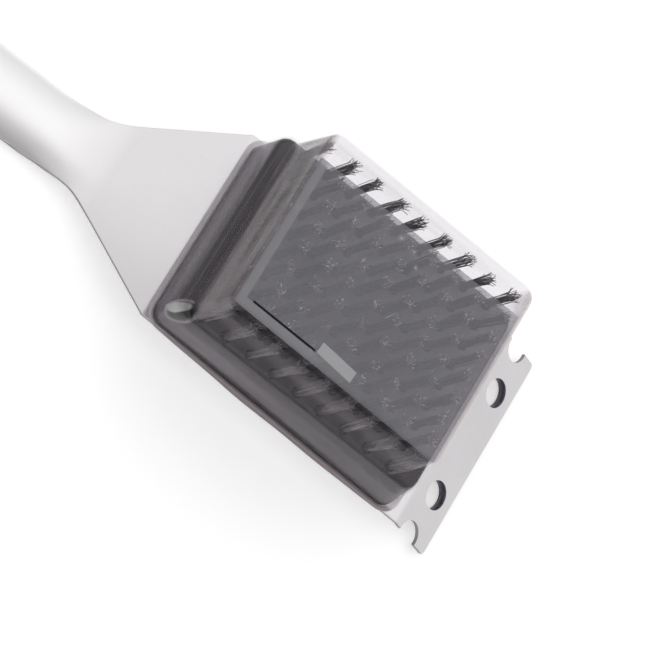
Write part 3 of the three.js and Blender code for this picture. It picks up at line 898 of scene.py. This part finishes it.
def tube(points, radius, sides, first):
    """Vertices and faces of a closed tube along nearly upright points."""
    angle = np.arange(sides) * (2 * math.pi / sides)
    ring = np.stack([np.cos(angle), np.sin(angle), np.zeros(sides)], 1) * radius
    vertices = (points[:, None] + ring[None]).reshape(-1, 3)
    faces = []
    for step in range(len(points) - 1):
        for side in range(sides):
            a = first + step * sides + side
            b = first + step * sides + (side + 1) % sides
            faces.append((a, b, b + sides, a + sides))
    faces.append(tuple(first + side for side in reversed(range(sides))))
    last = first + (len(points) - 1) * sides
    faces.append(tuple(last + side for side in range(sides)))
    return vertices, faces


def tuft_row(number, material):
    """One row of tufts, each a bundle of fine wires with frayed ends."""
    node = f"tuft_row_{number}"
    low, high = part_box(node)
    y = (low.y + high.y) / 2
    random = np.random.default_rng(number)
    half = (high.x - low.x) / 2 - TIP_RADIUS
    outer = math.copysign(OUTER_PULL, y) if abs(y) > OUTER_ROW else 0.0
    vertices = []
    faces = []
    count = 0
    for column in range(COLUMNS):
        x = -half + 2 * half * column / (COLUMNS - 1)
        lean = random.normal(0, TUFT_LEAN, 2)
        for _ in range(WIRES_PER_TUFT):
            turn = random.uniform(0, 2 * math.pi)
            out = math.sqrt(random.uniform(0, 1))
            way = np.array([math.cos(turn), math.sin(turn)]) * out
            tip_way = way + random.normal(0, TIP_SCATTER, 2)
            root = np.array([*(way * ROOT_RADIUS + (x, y)), low.z])
            tip = np.array([*(tip_way * TIP_RADIUS + lean + (x, y - outer)), 0.0])
            tip[2] = high.z - abs(random.normal(0, LENGTH_SCATTER))
            points = wire_path(random, root, tip)
            points[:, :2] = np.clip(points[:, :2], INSIDE_GUARD_LOW, INSIDE_GUARD_HIGH)
            new_vertices, new_faces = tube(points, WIRE_RADIUS, WIRE_SIDES, count)
            vertices.append(new_vertices)
            faces.extend(new_faces)
            count += len(new_vertices)
    row = mesh_object(f"wire_row_{number}", np.concatenate(vertices), faces, material)
    add_piece(row, "root", "bristle_wire", node)


# ------------------------------------------------------------------ guard


def plan_ring(plan, corner, z):
    """A ring round a rectangle with round corners that may widen towards the front, in mm."""
    rear, front, half, spread = plan
    corner = max(corner, 0.2)
    ring = []
    centres = (
        (front - corner, half - corner),
        (rear + corner, half - corner),
        (rear + corner, corner - half),
        (front - corner, corner - half),
    )
    for quarter, (x, y) in enumerate(centres):
        for i in range(CORNER_STEPS + 1):
            angle = (quarter + i / CORNER_STEPS) * math.pi / 2
            ring.append(Vector((x + math.cos(angle) * corner, y + math.sin(angle) * corner, z)))
    cut = []
    for i, point in enumerate(ring):
        after = ring[(i + 1) % len(ring)]
        parts = SIDE_PARTS if i % (CORNER_STEPS + 1) == CORNER_STEPS else 1
        cut += [point.lerp(after, part / parts) for part in range(parts)]
    for point in cut:
        point.y *= 1 + spread / half * (point.x - rear) / (front - rear)
    return cut


def grown(plan, by):
    """The plan moved outwards on every side."""
    rear, front, half, spread = plan
    return (rear - by, front + by, half + by, spread)


def blended(a, b, share):
    """A plan part of the way from one to another."""
    return tuple(p + (q - p) * share for p, q in zip(a, b))


def quarter_turn(steps):
    """Angles from straight up to level."""
    return [math.radians(90 - 90 * i / steps) for i in range(steps + 1)]


def waved(ring, depth):
    """The ring pushed in and out a little, as thin formed sheet is."""
    for point in ring:
        ripple = noise.noise(Vector((point.x * 0.022, point.y * 0.022, point.z * 0.075)))
        broad = noise.noise(Vector((point.x * 0.009 + 5, point.y * 0.009, point.z * 0.03)))
        push = depth * (0.7 * ripple + 0.9 * broad)
        away = Vector((point.x, point.y, 0)).normalized()
        point.x += away.x * push
        point.y += away.y * push
    return ring


def guard_face(inwards):
    """One face of the guard, from the middle of its top down to its foot."""
    rings = []
    middle = GUARD_TOP - GUARD_SHOULDER
    radius = GUARD_SHOULDER - inwards
    for share in (0.35, 0.7, 0.95):
        plan = blended((-1, 1, 1, 0), grown(RIM, -GUARD_SHOULDER), share)
        rings.append(plan_ring(plan, GUARD_CORNER * share, GUARD_TOP - inwards))
    for angle in quarter_turn(5):
        inset = GUARD_SHOULDER - radius * math.cos(angle)
        z = middle + radius * math.sin(angle)
        rings.append(plan_ring(grown(RIM, -inset), GUARD_CORNER - inset, z))
    waist_z = SHELF + WAIST_FILLET
    for i in range(1, 10):
        share = i / 10
        z = middle + (waist_z - middle) * share
        ring = plan_ring(grown(blended(RIM, WAIST, share), -inwards), GUARD_CORNER - inwards, z)
        rings.append(waved(ring, 0.28 * math.sin(math.pi * share)))
    fillet = WAIST_FILLET + inwards
    for angle in quarter_turn(5):
        growth = WAIST_FILLET - fillet * math.sin(angle)
        z = waist_z - fillet * math.cos(angle)
        rear, front = grown(WAIST, growth)[:2]
        half = WAIST[2] - inwards + 0.16 * math.cos(angle)
        rings.append(plan_ring((rear, front, half, 0.0), GUARD_CORNER + growth, z))
    rounding = STEP_ROUND - inwards
    for angle in quarter_turn(7):
        inset = STEP_ROUND - rounding * math.cos(angle)
        z = SHELF - STEP_ROUND + rounding * math.sin(angle)
        rear, front = grown(SKIRT_TOP, -inset)[:2]
        share = 0.2 + 0.8 * math.sqrt(1 - math.sin(angle))
        half = WAIST[2] + (SKIRT_TOP[2] - WAIST[2]) * share - inwards
        rings.append(plan_ring((rear, front, half, 0.0), SKIRT_CORNER - inset, z))
    top = SHELF - STEP_ROUND
    for i in range(1, 9):
        share = i / 9
        z = top + (GUARD_FOOT + WALL + 0.5 - top) * share
        plan = grown(blended(SKIRT_TOP, SKIRT_FOOT, share), -inwards)
        ring = plan_ring(plan, SKIRT_CORNER - inwards, z)
        rings.append(waved(ring, 0.18 * math.sin(math.pi * share)))
    return rings


def guard_flange():
    """The flange's upper and lower edge: thin, and trimmed a little unevenly."""
    rings = []
    for z in (GUARD_FOOT + WALL, GUARD_FOOT):
        ring = plan_ring(FLANGE, FLANGE_CORNER, z)
        for point in ring:
            ragged = 0.3 * noise.noise(Vector((point.x * 0.05, point.y * 0.05, 0)))
            swell = math.sin(math.pi * (point.x - FLANGE[0]) / (FLANGE[1] - FLANGE[0]))
            point.y += math.copysign(swell + ragged - 0.1, point.y) * min(1, abs(point.y) / 30)
            point.y = min(FLANGE_LIMIT, max(-FLANGE_LIMIT, point.y))
        rings.append(ring)
    return rings


def bristle_guard(material):
    """The clear cover as one closed sheet: top, walls, the step over the block, skirt, flange."""
    foot = GUARD_FOOT
    outer = guard_face(0.0)
    outer.append(plan_ring(grown(SKIRT_FOOT, 0.2), SKIRT_CORNER + 0.2, foot + WALL + 0.15))
    outer.append(plan_ring(grown(SKIRT_FOOT, 0.6), SKIRT_CORNER + 0.6, foot + WALL))
    inner = guard_face(WALL)
    inner.append(plan_ring(grown(SKIRT_FOOT, -WALL), SKIRT_CORNER - WALL, foot))
    rings = outer + guard_flange() + list(reversed(inner))
    vertices = [point * MM for ring in rings for point in ring]
    guard = mesh_object("guard_shell", vertices, lofted(len(rings[0]), len(rings)), material)
    keep_edges(guard, 50)
    add_piece(guard, "guard", "clear_plastic", "bristle_guard")


def guard_film(material):
    """The film on the guard's top: a thin, slightly rippled sheet, narrower at the rear."""
    columns, rows = 48, 36
    top = GUARD_HIGH.z + 0.05 * MM
    thick = 0.12 * MM
    ripple_height = 0.12 * MM
    vertices = []
    for lift in (0.0, thick):
        for row in range(rows + 1):
            for column in range(columns + 1):
                along = column / columns
                x = FILM_LOW.x + (FILM_HIGH.x - FILM_LOW.x) * along
                near = FILM_LOW.y + 1.3 * MM * (1 - along)
                far = FILM_HIGH.y - 1.5 * MM
                y = near + (far - near) * row / rows
                wave = noise.noise(Vector((x * 60, y * 60, 0)))
                ripple = ripple_height * (0.5 + 0.5 * wave)
                vertices.append((x, y, top + ripple + lift))
    layer = (rows + 1) * (columns + 1)
    faces = []
    for row in range(rows):
        for column in range(columns):
            a = row * (columns + 1) + column
            b, c, d = a + 1, a + columns + 2, a + columns + 1
            faces.append((d, c, b, a))
            faces.append((layer + a, layer + b, layer + c, layer + d))
    border = list(range(columns))
    border += [row * (columns + 1) + columns for row in range(rows)]
    border += [rows * (columns + 1) + column for column in range(columns, 0, -1)]
    border += [row * (columns + 1) for row in range(rows, 0, -1)]
    for i, a in enumerate(border):
        b = border[(i + 1) % len(border)]
        faces.append((a, b, layer + b, layer + a))
    film = mesh_object("film_sheet", vertices, faces, material)
    add_piece(film, "guard", "grey_film", "guard_film")


# ------------------------------------------------------------------ screws


def block_screw(number, material):
    """A pan-head screw with a cross recess, seen from the plate's back."""
    node = f"block_screw_{number}"
    low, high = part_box(node)
    middle = Vector(((low.x + high.x) / 2, (low.y + high.y) / 2, 0))
    head = (high.x - low.x) / 2
    shank = 1.5 * MM
    seat = low.z + 2.2 * MM
    rounding = 1.3 * MM
    chamfer = 0.1 * MM
    point = 2 * MM
    steps = 6
    profile = [(0.0, low.z)]
    for i in range(steps + 1):
        angle = math.radians(90 * i / steps)
        reach = head - rounding + rounding * math.sin(angle)
        profile.append((reach, low.z + rounding * (1 - math.cos(angle))))
    profile += [(head, seat - chamfer), (head - chamfer, seat), (shank, seat)]
    profile += [(shank, high.z - point), (0.0, high.z)]
    sides = 36
    mesh = bmesh.new()
    rings = []
    for reach, z in profile:
        if reach == 0.0:
            rings.append([mesh.verts.new(middle + Vector((0, 0, z)))])
            continue
        ring = []
        for side in range(sides):
            angle = 2 * math.pi * side / sides
            way = Vector((math.cos(angle) * reach, math.sin(angle) * reach, z))
            ring.append(mesh.verts.new(middle + way))
        rings.append(ring)
    for a, b in zip(rings, rings[1:]):
        for side in range(sides):
            after = (side + 1) % sides
            if len(a) == 1:
                mesh.faces.new((a[0], b[after], b[side]))
            elif len(b) == 1:
                mesh.faces.new((a[side], a[after], b[0]))
            else:
                mesh.faces.new((a[side], a[after], b[after], b[side]))
    bmesh.ops.recalc_face_normals(mesh, faces=mesh.faces)
    data = bpy.data.meshes.new(f"cross_screw_{number}")
    mesh.to_mesh(data)
    mesh.free()
    data.polygons.foreach_set("use_smooth", [True] * len(data.polygons))
    data.materials.append(material)
    screw = link(bpy.data.objects.new(f"cross_screw_{number}", data))
    cut_out(screw, [cross_cutter(middle + Vector((0, 0, low.z)))])
    keep_edges(screw, 35)
    add_piece(screw, "root", "screw_steel", node)


def cross_cutter(place):
    """Two crossed wedges that leave a cross recess."""
    arm, half, depth = 1.9 * MM, 0.38 * MM, 1.5 * MM
    outline = [
        (arm, -half), (arm, half), (half, half), (half, arm), (-half, arm), (-half, half),
        (-arm, half), (-arm, -half), (-half, -half), (-half, -arm), (half, -arm), (half, -half),
    ]
    vertices = []
    for z, scale in ((-1.0 * MM, 1.0), (depth, 0.55)):
        vertices += [place + Vector((x * scale, y * scale, z)) for x, y in outline]
    count = len(outline)
    faces = [tuple(reversed(range(count))), tuple(count + i for i in range(count))]
    for i in range(count):
        after = (i + 1) % count
        faces.append((i, after, count + after, count + i))
    mesh = bpy.data.meshes.new("cross")
    mesh.from_pydata(vertices, [], faces)
    return link(bpy.data.objects.new("cross", mesh))


# ------------------------------------------------------------------ the whole object

make_camera()
make_floor()
make_light()

scene = bpy.context.scene
scene.view_settings.view_transform = "Standard"
scene.cycles.transparent_max_bounces = 32

frame_sheet(satin_steel())
# The lips round the scraper's holes are dark with painted shade.
hole_shade = hole_shade_steel()
for side in (-1, 1):
    hole_collar(side, hole_shade)
dress("brush_block", black_plastic(), 35.0)
wire = bristle_wire()
for number in range(1, ROWS + 1):
    tuft_row(number, wire)
steel = screw_steel()
for number in range(1, SCREWS + 1):
    block_screw(number, steel)
bristle_guard(clear_sheet())
guard_film(grey_film())
